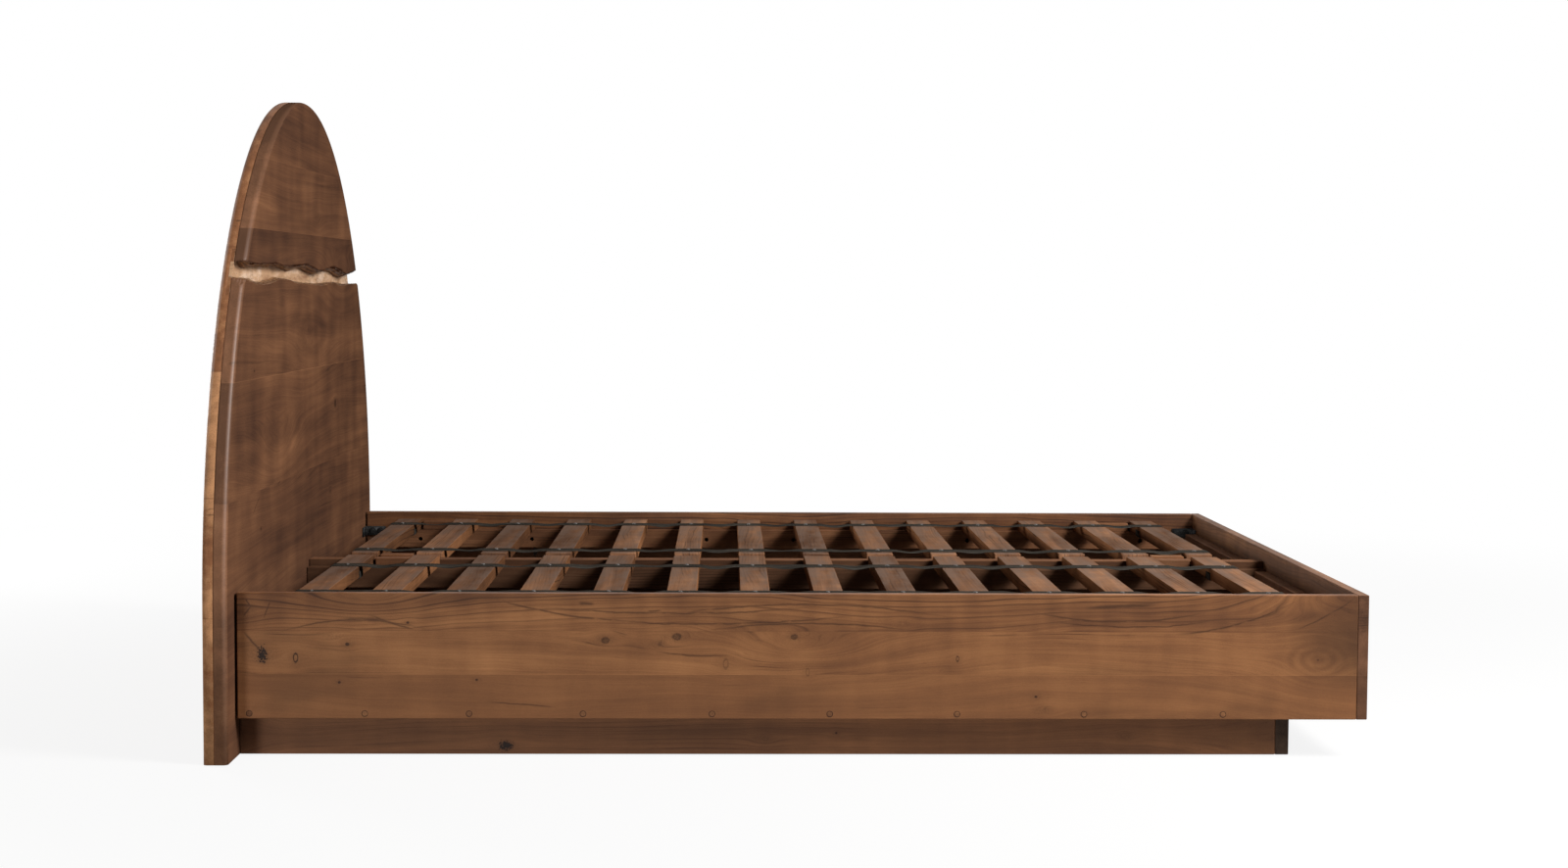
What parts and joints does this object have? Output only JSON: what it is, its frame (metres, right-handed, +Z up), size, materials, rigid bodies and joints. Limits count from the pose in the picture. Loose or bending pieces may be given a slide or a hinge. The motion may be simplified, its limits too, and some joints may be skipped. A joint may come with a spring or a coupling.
{
  "type": "platform bed",
  "caption": "Low solid-wood platform bed with a recessed plinth, slatted deck and a tall arched headboard split by a live-edge gap over a pale inlaid strip.",
  "frame": {"origin": "middle of the bed's footprint, on the floor", "axes": "+X from the headboard to the foot, +Y across the bed, +Z up"},
  "size_m": [2.1226, 1.724, 1.249],
  "materials": {
    "wood_headboard": "clear matt oil",
    "wood_rail": "clear matt oil",
    "wood_plinth": "clear matt oil",
    "wood_slat": "bare, sanded",
    "wood_frame": "bare, sanded",
    "wood_inset": "raw, rough",
    "webbing": "woven",
    "black_steel": "satin black"
  },
  "bodies": {
    "root": {"headboard_back_panel": "wood_headboard", "headboard_inset": "wood_inset", "headboard_lower_slab": "wood_headboard", "headboard_upper_slab": "wood_headboard", "side_rail_near": "wood_rail", "side_rail_far": "wood_rail", "foot_board": "wood_rail", "rail_ledger_near": "wood_frame", "rail_ledger_far": "wood_frame", "centre_beam": "wood_frame", "centre_ledger_near": "wood_frame", "centre_ledger_far": "wood_frame", "centre_leg_1": "wood_frame", "centre_leg_2": "wood_frame", "beam_hanger_head": "black_steel", "beam_hanger_foot": "black_steel", "foot_cleat_near": "wood_frame", "foot_cleat_far": "wood_frame", "plinth_side_near": "wood_plinth", "plinth_side_far": "wood_plinth", "plinth_foot": "wood_plinth", "plinth_head": "wood_plinth", "base_cleat_near": "wood_frame", "base_cleat_far": "wood_frame", "corner_bracket_head_near": "black_steel", "corner_bracket_head_far": "black_steel", "corner_bracket_foot_near": "black_steel", "corner_bracket_foot_far": "black_steel", "slat_near_01": "wood_slat", "slat_near_02": "wood_slat", "slat_near_03": "wood_slat", "slat_near_04": "wood_slat", "slat_near_05": "wood_slat", "slat_near_06": "wood_slat", "slat_near_07": "wood_slat", "slat_near_08": "wood_slat", "slat_near_09": "wood_slat", "slat_near_10": "wood_slat", "slat_near_11": "wood_slat", "slat_near_12": "wood_slat", "slat_near_13": "wood_slat", "slat_near_14": "wood_slat", "slat_far_01": "wood_slat", "slat_far_02": "wood_slat", "slat_far_03": "wood_slat", "slat_far_04": "wood_slat", "slat_far_05": "wood_slat", "slat_far_06": "wood_slat", "slat_far_07": "wood_slat", "slat_far_08": "wood_slat", "slat_far_09": "wood_slat", "slat_far_10": "wood_slat", "slat_far_11": "wood_slat", "slat_far_12": "wood_slat", "slat_far_13": "wood_slat", "slat_far_14": "wood_slat", "strap_1": "webbing", "strap_2": "webbing", "strap_3": "webbing", "strap_4": "webbing"}
  },
  "joints": []
}
